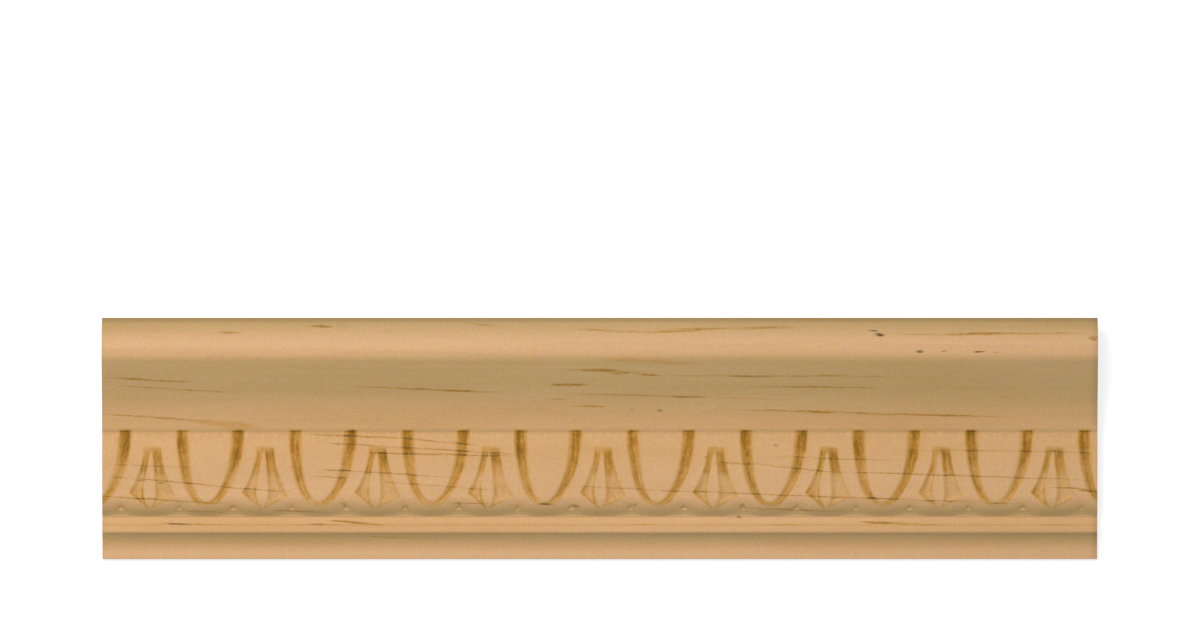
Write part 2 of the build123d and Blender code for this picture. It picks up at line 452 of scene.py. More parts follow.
def pocket_outline(sizes, band_width, side, shoulder_width, shoulder_height):
    """The outline of one pocket of a dart, counted from the step. Side is -1 for the left one."""
    foot_y = -band_width - sizes.dart_overhang
    leaf_top = np.array([side * sizes.leaf_top - sizes.leaf_shift, -sizes.dart_drop])
    leaf_swell = np.array([
        side * sizes.leaf_swell - sizes.leaf_shift, foot_y + sizes.leaf_swell_height
    ])
    leaf_foot = np.array([side * sizes.leaf_foot, foot_y])
    top = np.array([side * sizes.pocket_top, -sizes.dart_drop])
    shoulder = np.array([side * shoulder_width, foot_y + shoulder_height])
    middle = (top + shoulder) / 2 - [side * sizes.pocket_hollow, 0.0]
    return np.vstack([
        line(leaf_top, top, 4),
        three_point_arc(top, middle, shoulder, 16),
        line(shoulder, leaf_foot, 8),
        arc_back(leaf_swell, leaf_swell - leaf_top, leaf_foot, 12),
        line(leaf_swell, leaf_top, 8),
    ])


def inside_outline(outline, x, y):
    """Distance of each point from the outline, positive inside it and negative outside.

    The distance is the least one to any of its straight pieces. A point is inside when a ray
    from it crosses the outline an odd number of times.
    """
    step = np.roll(outline, -1, axis=0) - outline
    to_x = x[:, None] - outline[:, 0]
    to_y = y[:, None] - outline[:, 1]
    along = (to_x * step[:, 0] + to_y * step[:, 1]) / (step ** 2).sum(axis=1)
    along = np.clip(along, 0.0, 1.0)
    away = np.hypot(to_x - along * step[:, 0], to_y - along * step[:, 1]).min(axis=1)
    above = to_y >= 0.0
    next_above = y[:, None] - np.roll(outline[:, 1], -1) >= 0.0
    turn = step[:, 0] * to_y - step[:, 1] * to_x
    crossing = (above != next_above) & ((turn > 0.0) == (step[:, 1] < 0.0))
    return np.where(crossing.sum(axis=1) % 2 == 1, away, -away)


def dart_inside(sizes, band_width, x, y):
    """How far each point lies inside a pocket of a dart, negative outside, and its place in it."""
    across, down = lean_back(x, y, sizes.dart_lean)
    margin = 1.5 * MM
    reach = max(sizes.left_width, sizes.right_width) + margin
    low = -band_width - sizes.dart_overhang - margin
    near = (np.abs(across) < reach) & (down > low) & (down < margin - sizes.dart_drop)
    inside = np.full(x.shape, -margin)
    pockets = (
        (-1.0, sizes.left_width, sizes.left_height),
        (1.0, sizes.right_width, sizes.right_height),
    )
    for side, width, height in pockets:
        outline = pocket_outline(sizes, band_width, side, width, height)
        found = inside_outline(outline, across[near], down[near])
        inside[near] = np.maximum(inside[near], found)
    return inside, across, down


def nick_inside(sizes, width, x, y):
    """How far each point lies inside a nick, a triangle that points up, and negative outside.

    This is the least distance from the three sides.
    """
    slant = math.atan2(width / 2, sizes.nick_reach)
    beside = -y * math.sin(slant) - np.abs(x) * math.cos(slant)
    return np.minimum(beside, y + sizes.nick_reach)


def egg_marks(place, down, drop):
    """Brown and scorch of the grooves around the eggs, with painted shade under the step.

    Brown is full at the top. Further down it pales to a core, with a faint line along each edge.
    Scorch lies along the outer part of the floor, and painted shade right under the step.
    """
    upper = smooth(-14.5 * MM, -5.0 * MM, down)
    in_groove = smooth(-0.35, 0.30, place) * smooth(1.20, 0.72, place) * smooth(0.8 * MM, 0.0, drop)
    lines = bell(place, 0.15, 0.12) + bell(place, 0.88, 0.12)
    lower = 0.52 + 0.14 * bell(place, 0.50, 0.30) + 0.08 * lines
    full = 0.90 + 0.10 * smooth(0.10, 0.60, place)
    brown = in_groove * (lower + (full - lower) * upper) * smooth(-27.5 * MM, -23.0 * MM, down)
    scorch_and_shade = 0.10 * bell(place, 0.62, 0.22) * smooth(-16.0 * MM, -9.0 * MM, down)
    # Painted shade: the groove darkens right under the step
    scorch_and_shade += 0.28 * bell(place, 0.58, 0.32) * smooth(-3.2 * MM, -0.4 * MM, drop)
    return brown, scorch_and_shade * in_groove


def dart_marks(inside, across, down):
    """Brown and scorch of the darts.

    Brown is strong in the upper legs, darkest at the top right and faint lower down. A line of it
    follows the outline, and some lies over the top of the leaf.
    """
    in_pocket = smooth(-0.35 * MM, 0.75 * MM, inside)
    leg = smooth(-16.2 * MM, -13.2 * MM, down) * smooth(-5.9 * MM, -7.7 * MM, down)
    right_side = smooth(-0.5 * MM, 0.5 * MM, across)
    foot = bell(across, -6.4 * MM, 2.4 * MM) * bell(down, -21.4 * MM, 2.6 * MM)
    over_leaf = bell(across, 0.0, 2.6 * MM) * bell(down, -6.6 * MM, 1.2 * MM)
    darkest = right_side * bell(down, -8.6 * MM, 2.6 * MM)
    lower_edge = bell(inside, 0.15 * MM, 0.50 * MM) * smooth(-18.5 * MM, -20.5 * MM, down)
    outline = bell(inside, 0.20 * MM, 0.40 * MM)
    brown = in_pocket * (0.27 + (0.38 - 0.08 * right_side) * leg + 0.32 * darkest + 0.20 * foot)
    brown += 0.24 * lower_edge * (1.0 - right_side) + 0.24 * outline
    brown += 0.36 * over_leaf * (1.0 - in_pocket)
    return brown, 0.14 * in_pocket * darkest


def nick_press(pattern, y_at, first_egg, x, y):
    """Depth of the nicks, how far the ovolo sinks around them, and a line of painted shade along the
    nicks' upper edges.

    One nick of each size stands in each pitch. Its depth grows softly from its sides.
    """
    below = y - (y_at["band"] - pattern.nick_overhang)
    depth, hollow, edge = np.zeros_like(x), np.zeros_like(x), np.zeros_like(x)
    nicks = (
        (pattern.nick_width, pattern.nick_beyond_egg),
        (pattern.small_nick_width, -pattern.nick_before_egg),
    )
    for width, offset in nicks:
        beside = nearest(x, first_egg + offset, pattern.pitch)
        inside = nick_inside(pattern, width, beside, below)
        depth = np.maximum(depth, smooth(0.0, pattern.nick_wall, inside))
        # A line of painted shade just outside the nick, kept along its upper part
        edge = np.maximum(edge, bell(inside, -0.15 * MM, 0.40 * MM))
        hollow = np.maximum(hollow, bell(beside, 0.0, 4.0 * MM))
    hollow *= pattern.nick_hollow * smooth(0.2 * MM, -4.5 * MM, y - y_at["band"])
    hollow *= smooth(0.0, 2.0 * MM, y - y_at["valley"])
    edge *= smooth(-0.75 * pattern.nick_reach, -0.2 * pattern.nick_reach, below)
    return pattern.nick_depth * depth, hollow, edge


def press_pattern(section, pattern, y_at, z_at, x, y, z):
    """Presses the pattern into the face and works out where the hot die browned the wood.

    The new height is the lower of the section and the die, where the die lies its depth under
    the band, or under the section where that is higher. The ovolo sinks around the nicks, and
    the wood swells up a little beside the edges.
    Returned are the height and the looks. Brown and scorch, which carry some painted shade, run from 0 to
    1. The place across the egg's groove runs from 0 at the egg to 1 at the outer edge. Flat is 1 where
       the die pressed below
    the section, and the painted shade of the slopes is left off there.
    """
    first_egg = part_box(NODE)[0].x - pattern.overhang
    drop = y - y_at["step"]
    hair = 1e-4 * MM
    pressed = drop < -hair
    egg_depth, inside_rim, beyond_edge, place, down = egg_press(
        pattern, section.band, nearest(x, first_egg, pattern.pitch), drop
    )
    inside, dart_across, dart_down = dart_inside(
        pattern, section.band, nearest(x, first_egg + pattern.pitch / 2, pattern.pitch), drop
    )
    dart_depth = pattern.pocket_depth * smooth(-0.1 * MM, pattern.pocket_wall, inside)
    dart_depth *= 0.25 + 0.75 * smooth(-pattern.dart_drop, -pattern.dart_drop - 3.5 * MM, dart_down)
    nick_depth, hollow, nick_edge_shade = nick_press(pattern, y_at, first_egg, x, y)

    depth = np.maximum(np.maximum(egg_depth, dart_depth), nick_depth) * pressed
    swell = bell(inside_rim, 0.8 * MM, 0.6 * MM) + bell(beyond_edge, 0.6 * MM, 0.5 * MM)
    swell = np.maximum(swell, bell(-inside, 0.55 * MM, 0.45 * MM)) * (depth < 0.5 * MM)
    swell *= smooth(0.0, -1.0 * MM, drop) * smooth(2.0 * MM, 0.0, y_at["band"] - y)
    die = np.maximum(z, z_at["band"]) - depth
    pressed_z = np.minimum(z - hollow, die) + pattern.swelling * swell

    egg_brown, egg_scorch_and_shade = egg_marks(place, down, drop)
    dart_brown, dart_scorch = dart_marks(inside, dart_across, dart_down)
    # The nicks' edge line is painted shade, laid in as brown and scorch
    brown = np.maximum(np.maximum(egg_brown, dart_brown), 0.25 * nick_edge_shade)
    scorch_and_shade = np.maximum(egg_scorch_and_shade, dart_scorch) + 0.03 * nick_edge_shade
    looks = {
        "brown": np.clip(brown, 0.0, 1.0),
        "scorch_and_shade": np.clip(scorch_and_shade, 0.0, 1.0),
        "place": np.clip(place, -1.0, 6.0),
        "flat": smooth(0.0, 0.3 * MM, z - hollow - die) * pressed,
    }
    return np.where(pressed, pressed_z, z), looks


# Meshes

# Cells along the length in the plain rows, and the finer cells for each of them in the pressed rows
COARSE_CELLS = 130
FINE_RATIO = 8


def grid_faces(first, second):
    """Quads between two rows of equal length, given as the numbers of their points."""
    return np.stack([first[:-1], first[1:], second[1:], second[:-1]], axis=1)


def fan_faces(fine_row, coarse_row):
    """Triangles between a finely and a coarsely divided row.

    Half the fine steps of each cell fan out from its left coarse point, half from its right one,
    and one triangle stands on the coarse step between them.
    """
    starts = np.arange(len(coarse_row) - 1) * FINE_RATIO
    half = FINE_RATIO // 2
    steps = np.arange(FINE_RATIO)
    low = fine_row[starts[:, None] + steps]
    high = fine_row[starts[:, None] + steps + 1]
    apex = np.where(steps < half, coarse_row[:-1, None], coarse_row[1:, None])
    fans = np.stack([low, high, apex], axis=2).reshape(-1, 3)
    gaps = np.stack([fine_row[starts + half], coarse_row[1:], coarse_row[:-1]], axis=1)
    return np.vstack([fans, gaps])


def faces_between(row, next_row):
    """The faces between two neighbouring rows, which are fans where the division changes."""
    if len(row) == len(next_row):
        return grid_faces(row, next_row)
    if len(row) > len(next_row):
        return fan_faces(row, next_row)
    return fan_faces(next_row, row)[:, ::-1]


def close_end(points, rim_numbers, x_end, ease):
    """Eases one end and closes it with a flat cap.

    The cap is the rim moved inward by the easing, square to the outline. Returned are the points
    with the cap's at their end, the bevel's quads and the cap's own points, wound for the left end.
    """
    rim = points[rim_numbers]
    along = np.roll(rim, -1, axis=0) - np.roll(rim, 1, axis=0)
    along /= np.linalg.norm(along, axis=1)[:, None]
    cap = rim + ease * np.column_stack([np.zeros(len(rim)), along[:, 2], -along[:, 1]])
    cap[:, 0] = x_end
    cap_numbers = len(points) + np.arange(len(rim))
    bevel = grid_faces(
        np.append(rim_numbers, rim_numbers[0]), np.append(cap_numbers, cap_numbers[0])
    )
    return np.vstack([points, cap]), bevel, cap_numbers[::-1]


def build_moulding(section, pattern):
    """Builds the whole piece as one closed surface.

    The section's ring is carried along the length: each of its points is a row along X. Rows
    between the valley and the step are divided finely and take the pattern, the others coarsely,
    and fans of triangles join the two. Each end is eased and closed by one flat face. The members
    stack up a little higher than the frame, so the crest of the roll is cut level at its top.
    """
    low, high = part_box(NODE)
    y_at, z_at = section_levels(section, low, high)
    ring, fine = section_ring(section, y_at, z_at)
    ease = section.end_easing
    coarse_x = np.linspace(low.x + ease, high.x - ease, COARSE_CELLS + 1)
    fine_x = np.linspace(low.x + ease, high.x - ease, COARSE_CELLS * FINE_RATIO + 1)
    counts = np.where(fine, len(fine_x), len(coarse_x))
    firsts = np.cumsum(counts) - counts
    lasts = firsts + counts - 1
    rows = [np.arange(first, last + 1) for first, last in zip(firsts, lasts)]

    x = np.concatenate([fine_x if flag else coarse_x for flag in fine])
    y = np.repeat(ring[:, 0], counts)
    z = np.repeat(ring[:, 1], counts)
    face = np.repeat(fine, counts)
    z[face], pressed_looks = press_pattern(section, pattern, y_at, z_at, x[face], y[face], z[face])
    looks = {name: np.zeros_like(x) for name in pressed_looks}
    for name, values in pressed_looks.items():
        looks[name][face] = values
    # Painted shade on the slopes, left off where the die pressed
    painted_slope_shade = np.repeat(painted_shade_of_slope(ring[:, 0], ring[:, 1]), counts)
    looks["painted_slope_shade"] = painted_slope_shade * (1.0 - looks.pop("flat"))

    points = np.column_stack([x, y, np.minimum(z, high.z)])
    blocks = [faces_between(row, next_row) for row, next_row in zip(rows, rows[1:] + rows[:1])]
    points, left_bevel, left_cap = close_end(points, firsts, low.x, ease)
    points, right_bevel, right_cap = close_end(points, lasts, high.x, ease)
    blocks += [left_bevel, right_bevel[:, ::-1]]
    caps = [left_cap.tolist(), right_cap[::-1].tolist()]
    faces = [face for block in blocks for face in block.tolist()] + caps
    return shaded_mesh(points, faces, looks, len(caps))


def shaded_mesh(points, faces, looks, flat_faces):
    """A mesh that carries its looks as attributes and is smooth but for its last, flat faces."""
    mesh = bpy.data.meshes.new(NODE + "_wood")
    mesh.from_pydata(points.tolist(), [], faces)
    for name, values in looks.items():
        attribute = mesh.attributes.new(name, "FLOAT", "POINT")
        padded = np.zeros(len(points), np.float32)
        padded[:len(values)] = values
        attribute.data.foreach_set("value", padded)
    smooth_flags = np.ones(len(faces), bool)
    smooth_flags[-flat_faces:] = False
    mesh.polygons.foreach_set("use_smooth", smooth_flags)
    mesh.update()
    return mesh


# Nodes

class Wire:
    """The value at an output of a node. Its operators add Math nodes."""

    def __init__(self, socket):
        self.socket = socket
        self.tree = socket.id_data

    def __add__(self, other):
        return self.maths("ADD", other)

    def __sub__(self, other):
        return self.maths("SUBTRACT", other)

    def __mul__(self, other):
        return self.maths("MULTIPLY", other)

    def __truediv__(self, other):
        return self.maths("DIVIDE", other)

    def __pow__(self, other):
        return self.maths("POWER", other)

    def maths(self, operation, *others):
        """The result of one Math node that starts with this value."""
        return add_node(self.tree, "ShaderNodeMath", self, *others, operation=operation)

    def clamped(self):
        """The same value, held between 0 and 1 by the Math node that it leaves."""
        self.socket.node.use_clamp = True
        return self

    def ramp(self, low, high):
        """Runs smoothly from 0 where this value is low to 1 where it is high."""
        return add_node(
            self.tree, "ShaderNodeMapRange", self, low, high, 0.0, 1.0, interpolation_type="SMOOTHSTEP"
        )

    def hill(self, foot, top, far_top, far_foot):
        """Rises from 0 at the foot to 1 at the top, and falls again from the far top to the far foot."""
        return self.ramp(foot, top) * self.ramp(far_foot, far_top)

    def axis(self, number):
        """One coordinate of a vector, where 0, 1 and 2 are X, Y and Z."""
        return add_node(self.tree, "ShaderNodeSeparateXYZ", self, output=number)

    def scaled(self, scale):
        """These coordinates times a scale for each axis."""
        return add_node(self.tree, "ShaderNodeMapping", self, None, None, scale)

    def noise(self, cells, detail=2.0, roughness=0.5, output="Fac"):
        """Noise around 0.5 that has so many cells to each unit of X, Y and Z."""
        sockets = {
            "Vector": self.scaled(cells), "Scale": 1.0, "Detail": detail, "Roughness": roughness
        }
        return add_node(self.tree, "ShaderNodeTexNoise", sockets=sockets, output=output)

    def mix(self, first, second, blend="MIX"):
        """The colour this share of the way from the first to the second, or to their product."""
        first, second = (
            value if isinstance(value, Wire) else (*value, 1.0) for value in (first, second)
        )
        sockets = {0: self, 6: first, 7: second}
        return add_node(
            self.tree, "ShaderNodeMix", sockets=sockets, output=2, data_type="RGBA", blend_type=blend
        )


def add_node(tree, kind, *values, sockets=None, output=0, **settings):
    """Adds a node and gives one of its outputs as a wire, or nothing where it has none.

    Values go to its first sockets in order, and other sockets are named. A wire is linked, None
    leaves a socket as it is, and anything else is set.
    """
    node = tree.nodes.new(kind)
    for name, value in settings.items():
        setattr(node, name, value)
    for key, value in {**dict(enumerate(values)), **(sockets or {})}.items():
        if isinstance(value, Wire):
            tree.links.new(value.socket, node.inputs[key])
        elif value is not None:
            node.inputs[key].default_value = value
    return Wire(node.outputs[output]) if node.outputs else None


def vectors(first, second, operation="MULTIPLY"):
    """The product, or another combination, of two vectors or colours."""
    return add_node(first.tree, "ShaderNodeVectorMath", first, second, operation=operation)


def look(tree, name):
    """One of the looks that the mesh carries as attributes."""
    return add_node(tree, "ShaderNodeAttribute", attribute_name=name, output="Fac")


def marks(place, strokes, softness):
    """The sum of soft lens-shaped strokes: 1 less the distance from the middle, sharpened.

    Each stroke holds x and y of its two ends and its half width, in millimetres, and its strength.
    """
    total = 0.0
    endless = 1000.0
    for x_from, y_from, x_to, y_to, half_width, strength in strokes:
        middle = ((x_from + x_to) / 2, (y_from + y_to) / 2, 0.0)
        slope = (0.0, 0.0, math.atan2(y_to - y_from, x_to - x_from))
        reach = (math.hypot(x_to - x_from, y_to - y_from) / 2, half_width, endless)
        seen = add_node(
            place.tree, "ShaderNodeMapping", place, middle, slope, reach, vector_type="TEXTURE"
        )
        lens = add_node(
            place.tree, "ShaderNodeTexGradient", seen, gradient_type="SPHERICAL", output="Fac"
        )
        total = lens.ramp(0.0, softness).maths("MULTIPLY_ADD", strength, total)
    return total


# Streaks along the grain: x and y of both ends, half width and strength
STREAKS = (
    # On the roll and the crest
    (-131, 36.2, -121, 36.0, 0.60, 0.90),
    (-100, 38.3, -90, 38.1, 0.50, 1.00),
    (-48, 39.6, -33, 38.6, 0.60, 0.50),
    (-12, 37.5, 22, 36.1, 0.60, 0.55),
    (14, 36.2, 43, 37.8, 0.85, 0.70),
    (30, 37.4, 73, 38.1, 0.65, 0.65),
    (91, 35.6, 178, 35.7, 0.70, 0.60),
    (113, 35.7, 143, 36.0, 0.70, 0.40),
    (166, 34.2, 171, 34.0, 1.10, 1.00),
    (65, 40.6, 88, 40.6, 0.30, 1.10),
    (-4, 27.5, 38, 25.7, 1.35, 0.40),
    # On the fall and the cove
    (-175, 21.1, -132, 19.1, 0.48, 0.75),
    (-163, 20.6, -154, 20.3, 0.48, 0.60),
    (-177, 18.7, -114, 15.2, 0.36, 0.65),
    (-91, 18.0, -28, 15.4, 0.48, 0.80),
    (-57, 16.6, -36, 15.7, 0.54, 0.75),
    (-19, 24.2, 21, 22.5, 0.60, 0.45),
    (-8, 23.8, 8, 23.5, 0.70, 0.90),
    (2, 22.5, 12, 22.6, 0.75, 1.00),
    (10, 22.4, 22, 21.8, 0.54, 0.95),
    (8, 21.9, 124, 20.7, 0.45, 0.60),
    (42, 21.5, 64, 21.3, 0.60, 0.65),
    (72, 21.7, 87, 21.2, 0.60, 0.35),
    (-19, 18.4, -2, 18.7, 0.70, 0.90),
    (44, 17.8, 103, 17.0, 0.50, 0.75),
    (-13, 15.5, 30, 14.5, 0.45, 0.65),
    (22, 14.6, 39, 14.0, 0.54, 1.30),
    (30, 14.2, 73, 12.7, 0.45, 0.35),
    (-20, 13.5, -10, 13.4, 0.45, 0.65),
    (-11, 11.2, 4, 11.0, 0.48, 0.90),
    (27, 10.3, 152, 7.3, 0.45, 0.80),
    (63, 9.4, 83, 8.6, 0.54, 0.75),
    (107, 8.1, 140, 7.6, 0.54, 0.50),
    (-177, 8.9, -127, 5.8, 0.50, 0.80),
    (-142, 6.4, -113, 3.7, 1.60, 0.45),
    # On the band
    (-107, 1.8, -57, -0.5, 0.36, 1.00),
    (-68, -0.2, -39, -2.7, 0.42, 0.80),
    (-105, -0.9, -15, -6.4, 0.45, 0.70),
    (-88, -4.9, -23, -6.3, 0.48, 0.90),
    (94, -3.6, 179, -4.9, 0.42, 0.55),
    (47, -5.5, 112, -7.7, 0.42, 0.45),
    (38, -7.9, 60, -8.9, 0.39, 0.85),
    (53, -8.6, 81, -11.4, 0.42, 0.75),
    (-175, -8.8, -131, -9.8, 0.36, 0.45),
    (61, -10.5, 176, -14.2, 0.42, 0.65),
    (-96, -10.6, -83, -11.2, 0.48, 0.90),
    (-92, -10.8, -45, -13.8, 0.39, 0.70),
    (-180, -11.9, -97, -19.1, 0.36, 0.75),
    (-101, -12.8, -84, -13.6, 0.48, 0.75),
    (-82, -14.5, -32, -17.7, 0.36, 0.60),
    (-34, -15.4, 160, -22.8, 0.42, 0.65),
    (152, -16.3, 169, -17.4, 0.36, 0.85),
    (162, -17.4, 172, -18.4, 0.48, 1.10),
    (-178, -19.4, -121, -22.8, 0.42, 0.80),
    # On the ovolo, the bead and the foot cove
    (-54, -22.1, -36, -22.3, 0.36, 0.85),
    (43, -23.4, 90, -24.7, 0.42, 0.80),
    (-145, -24.7, -124, -25.5, 0.39, 0.70),
    (-114, -24.5, -92, -25.5, 0.48, 0.75),
    (-95, -28.0, -71, -29.8, 0.50, 1.60),
    (85, -28.1, 122, -29.9, 0.60, 0.90),
    (88, -28.3, 101, -28.9, 0.60, 0.65),
    (-158, -29.1, -119, -29.8, 0.36, 0.75),
    (-110, -29.5, -82, -29.8, 0.36, 0.85),
    (-84, -33.4, -61, -34.0, 0.42, 0.45),
)

# Near black dashes in and beside the streaks, in the same order
DASHES = (
    (93, 35.6, 98, 35.0, 0.85, 1.20),
    (91, 37.0, 96, 36.6, 0.45, 0.80),
    (107, 29.7, 111, 29.5, 0.70, 1.10),
    (116, 29.5, 119, 30.0, 0.36, 0.70),
    (127, 29.4, 132, 29.6, 0.50, 1.00),
    (133, 29.2, 137, 29.5, 0.36, 0.50),
    (19, 10.0, 22, 9.1, 0.75, 0.50),
    (10, 10.0, 12, 9.9, 0.50, 0.40),
    (-89, 0.8, -83, 0.5, 0.40, 0.90),
    (-94, -1.8, -74, -2.6, 0.40, 0.80),
    (-77, -5.1, -72, -5.4, 0.40, 0.90),
    (59, -2.2, 61, -2.3, 0.60, 0.70),
    (35, -6.3, 37, -6.3, 0.48, 0.60),
    (152, -4.0, 160, -4.2, 0.36, 0.60),
    (163, -4.7, 168, -4.8, 0.42, 0.85),
    (112, -12.2, 121, -12.4, 0.42, 0.60),
    (-160, -14.2, -154, -14.8, 0.36, 0.70),
    (-152, -15.3, -148, -15.5, 0.40, 0.70),
    (89, -20.2, 98, -20.5, 0.45, 0.90),
    (109, -21.1, 116, -21.3, 0.40, 0.80),
    (118, -21.5, 121, -21.6, 0.40, 0.70),
    (131, -21.8, 140, -22.0, 0.45, 0.90),
    (-22, -22.5, -15, -22.6, 0.45, 0.95),
    (-49, -21.9, -47, -22.6, 0.60, 0.70),
    (-89, -22.2, -86, -22.6, 0.70, 0.60),
    (-10, -22.8, -6, -23.5, 0.60, 0.70),
    (11, -22.3, 13, -22.5, 0.60, 0.60),
    (47, -22.4, 50, -22.4, 0.60, 0.50),
    (46, -26.7, 49, -26.8, 0.70, 0.80),
    (-150, -29.3, -138, -29.6, 0.42, 1.10),
    (-101, -29.5, -92, -29.6, 0.40, 0.80),
)


# The pith runs deep below the back on the foot's side and slopes along the length
PITH_BELOW = 46.0
PITH_ASIDE = 14.0
PITH_SLOPE = 0.012

# Width of one growth ring, in millimetres like the places above
RING_WIDTH = 2.3

# How far the fine speckle spreads in red, green and blue
SPECKLE_SPREAD = (0.38, 0.52, 0.95)


def following_fibres(spot):
    """The coordinates as the fibres run, which wander a little from the straight."""
    drift = spot.noise((0.018, 0.05, 0.05)) - 0.5
    ripple = spot.noise((0.16, 0.3, 0.3)) - 0.5
    wander = drift * 1.6 + ripple * 0.6
    shift = add_node(spot.tree, "ShaderNodeCombineXYZ", 0.0, wander, wander)
    return vectors(spot, shift, "ADD")


def growth_rings(fibre):
    """Late wood of the rings, from 0 to 1, about a pith line that lies deep below and slopes."""
    aside = fibre.axis(0) * PITH_SLOPE + fibre.axis(1) + PITH_ASIDE
    below = fibre.axis(2) + PITH_BELOW
    distance = (aside ** 2.0 + below ** 2.0).maths("SQRT")
    phase = (distance / RING_WIDTH).maths("FRACT")
    return phase.hill(0.35, 0.92, 0.93, 1.0)


def sanded_tones(across, fibre, level, colours):
    """Broad tones of the wood, paler on foot and lower band, with a painted highlight on the roll,
    painted shade on the fall and painted shade along the top edge.
    """
    broad = fibre.noise((0.012, 0.10, 0.10), 3.0)
    tone = ((broad - 0.5) * 1.8 + 0.5).clamped()
    on_roll = across.hill(level["crest"] - 4.0, level["crest"] + 3.0, level["top"] - 9.0, level["top"])
    on_foot = across.ramp(level["foot_cove"] + 4.0, level["foot_cove"])
    low_band = across.hill(level["lip"], level["band"], level["step"] - 16.0, level["step"] - 7.0)
    on_fall = across.hill(level["step"], level["fall"] + 2.0, level["crest"] - 3.0, level["crest"] + 2.0)
    # Painted shade along the top edge
    at_top = across.ramp(level["top"] - 2.2, level["top"] - 0.7)
    # Painted highlight on the roll, and paler wood on the foot and the lower band
    highlight_and_pale = on_roll.maths("MAXIMUM", on_foot) * 0.85 + low_band * 0.5
    base = highlight_and_pale.mix(tone.mix(colours.warm, colours.pale), colours.highlight_and_pale)
    # Painted shade on the fall
    base = on_fall.mix(base, colours.shaded, "MULTIPLY")
    return at_top.mix(base, colours.painted_edge_shade, "MULTIPLY")


def ringed(base, spot, late_wood, patchy, end_grain, colours):
    """Faint rings on the face, and rings and pores across the grain of the sawn ends."""
    ring_share = (late_wood * (patchy * 0.10 + 0.02)).maths("MAXIMUM", late_wood * end_grain * 0.62)
    pores = spot.noise((2.0, 3.4, 3.4), 2.0, 0.7)
    base = ring_share.mix(base, colours.ring)
    return (end_grain * (pores * 0.35 + 0.08)).mix(base, colours.ring)


def streaked(base, fibre, thin, breaking, face_up, colours):
    """Streaks of resin, faint ones everywhere and strong ones where they were placed."""
    placed = (marks(fibre, STREAKS, 0.55) * breaking).clamped()
    faint = fibre.noise((0.016, 0.95, 0.95), 3.0, 0.55).ramp(0.60, 0.80) * thin * face_up
    share = (placed + faint * 0.24).clamped()
    base = share.mix(base, colours.golden)
    return (share ** 1.5 * 0.80).mix(base, colours.streak), placed


def bead_line(base, spot, level, face_up, colours):
    """A soft brown line that follows the edge of the bead and darkens in dashes."""
    off_edge = (spot.axis(1) - level["arris"]).maths("ABSOLUTE")
    uneven = spot.noise((0.045, 0.4, 0.4), 3.0).ramp(0.50, 0.72)
    edge = off_edge.ramp(0.56, 0.10) * (uneven * 0.35 + 0.24) * face_up
    base = (edge * 1.5).mix(base, colours.golden)
    return (edge * 0.45).mix(base, colours.streak)


def die_marks(base, spot, streaks, rings, colours):
    """The colours that the hot die left: brown in the grooves, with darker lines along them, and painted
    shade under the step and along the nicks.

    It scorched most where a streak or a ring runs through.
    """
    tree = spot.tree
    brown = look(tree, "brown")
    along = add_node(tree, "ShaderNodeCombineXYZ", look(tree, "place"), spot.axis(1), spot.axis(0))
    lines = along.noise((3.2, 0.11, 0.12), 3.0, 0.6)
    patches = spot.noise((0.09, 0.12, 0.12), 3.0)
    uneven = spot.noise((0.8, 0.6, 0.6), 3.0, 0.65).ramp(0.30, 0.70) * 0.34 + 0.80
    amount = patches.ramp(0.34, 0.62) * 0.26 + 0.84
    paler = lines.ramp(0.50, 0.36) * -0.36 + 1.08
    share = (brown * uneven * amount * paler).clamped()
    base = (share * 1.5).clamped().mix(base, colours.golden)
    base = (share ** 2.0).mix(base, colours.brown)

    darker = lines.ramp(0.52, 0.64) * patches.ramp(0.36, 0.56) * brown ** 1.5
    strength = patches.ramp(0.40, 0.60) * 0.70 + 0.35
    crossing = (streaks * 2.0 + rings * 0.25) * brown
    # The scorch look also carries painted shade under the step and beside the nicks
    scorch_and_shade_share = (look(tree, "scorch_and_shade") * strength * uneven + darker * 0.75 + crossing).clamped()
    return (scorch_and_shade_share * 0.85).mix(base, colours.scorch_and_shade)


def finished_face(base, spot, fibres, level, colours):
    """Fine lightness of the fibres, a coloured speckle over everything, and painted shade on the slopes.

    Pale strokes run across the grain just under the step.
    """
    step = level["step"]
    under_step = spot.axis(1).hill(step - 6.5, step - 1.0, step - 0.3, step)
    strokes = spot.noise((1.3, 0.35, 0.35)).ramp(0.52, 0.68)
    grain = (fibres - 0.5) * 0.10 + under_step * strokes * 0.10 + 1.0
    speckle = spot.noise((1.5, 1.6, 1.6), 2.0, 0.6, output="Color")
    middle = tuple(1.0 - spread / 2 for spread in SPECKLE_SPREAD)
    tint = vectors(vectors(speckle, SPECKLE_SPREAD), middle, "ADD")
    lightness = add_node(spot.tree, "ShaderNodeCombineXYZ", grain, grain, grain)
    base = vectors(vectors(base, lightness), tint)
    # Painted shade: slopes are darkened and turned greener by how far they tilt
    return look(spot.tree, "painted_slope_shade").mix(base, colours.slope_shade_tint, "MULTIPLY")


def face_relief(spot, fibres, end_grain, level):
    """Bump of raised fibres, of saw lines on the ends and of shallow dents that the die left."""
    fuzz = spot.noise((1.5, 1.9, 1.9), 2.0, 0.6)
    saw_lines = spot.noise((1.0, 0.25, 3.0)) * end_grain
    on_band = spot.axis(1).hill(level["valley"], level["band"], level["step"] - 0.5, level["step"])
    dents = spot.noise((0.55, 0.40, 0.40)) * on_band
    sockets = {
        "Height": fibres + fuzz * 0.8 + saw_lines * 2.0 + dents * 1.6,
        "Strength": 0.4,
        "Distance": 0.06 * MM,
    }
    return add_node(spot.tree, "ShaderNodeBump", sockets=sockets)


